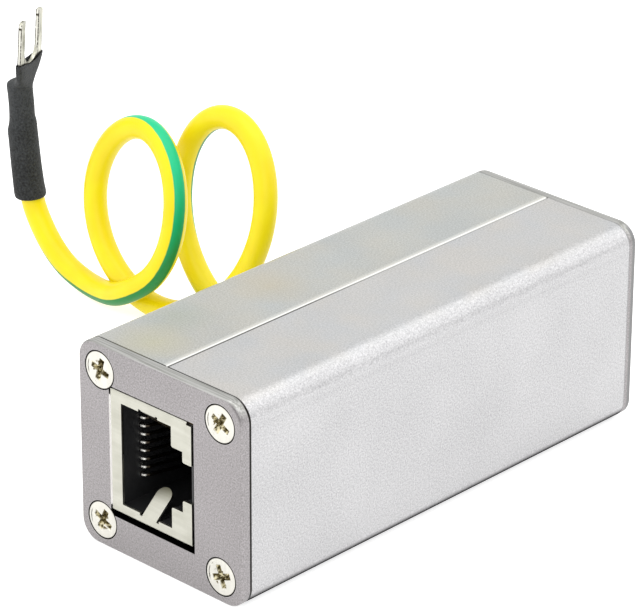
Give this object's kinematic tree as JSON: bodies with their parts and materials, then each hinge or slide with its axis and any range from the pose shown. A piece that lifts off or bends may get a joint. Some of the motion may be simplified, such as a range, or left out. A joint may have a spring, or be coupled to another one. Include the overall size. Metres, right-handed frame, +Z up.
{
  "type": "ethernet surge protector",
  "caption": "Inline surge protector for a network cable: a square aluminium body with a shielded jack at each end and a coiled earth wire with a fork terminal.",
  "frame": {"origin": "middle of the body's underside", "axes": "+X to the body's right, seen from the front jack; +Y from the front jack to the rear one; +Z up"},
  "size_m": [0.0842, 0.065, 0.0351],
  "materials": {
    "body_aluminium": "bead-blasted, clear anodised",
    "plate_aluminium": "bead-blasted, clear anodised",
    "screw_nickel": "nickel plated",
    "shield_nickel": "nickel plated, satin",
    "jack_black": "moulded",
    "contact_gold": "thin gold plating",
    "board_green": "solder mask",
    "tube_ceramic": "ceramic with metal caps",
    "diode_black": "moulded",
    "tab_tin": "tinned",
    "bush_black": "matte",
    "wire_yellow": "soft gloss, green stripe",
    "sleeve_charcoal": "satin",
    "fork_tin": "tinned"
  },
  "bodies": {
    "root": {"left_shell": "body_aluminium", "right_shell": "body_aluminium", "front_plate": "plate_aluminium", "rear_plate": "plate_aluminium", "front_screws": "screw_nickel", "rear_screws": "screw_nickel", "circuit_board": "board_green", "front_jack_shield": "shield_nickel", "front_jack_insert": "jack_black", "rear_jack_shield": "shield_nickel", "rear_jack_insert": "jack_black", "front_contact_1": "contact_gold", "front_contact_2": "contact_gold", "front_contact_3": "contact_gold", "front_contact_4": "contact_gold", "front_contact_5": "contact_gold", "front_contact_6": "contact_gold", "front_contact_7": "contact_gold", "front_contact_8": "contact_gold", "rear_contact_1": "contact_gold", "rear_contact_2": "contact_gold", "rear_contact_3": "contact_gold", "rear_contact_4": "contact_gold", "rear_contact_5": "contact_gold", "rear_contact_6": "contact_gold", "rear_contact_7": "contact_gold", "rear_contact_8": "contact_gold", "gas_tube_1": "tube_ceramic", "gas_tube_2": "tube_ceramic", "gas_tube_3": "tube_ceramic", "gas_tube_4": "tube_ceramic", "clamp_diode_1": "diode_black", "clamp_diode_2": "diode_black", "clamp_diode_3": "diode_black", "clamp_diode_4": "diode_black", "earth_tab": "tab_tin", "wire_bush": "bush_black", "earth_wire": "wire_yellow", "shrink_sleeve": "sleeve_charcoal", "fork_terminal": "fork_tin"}
  },
  "joints": []
}
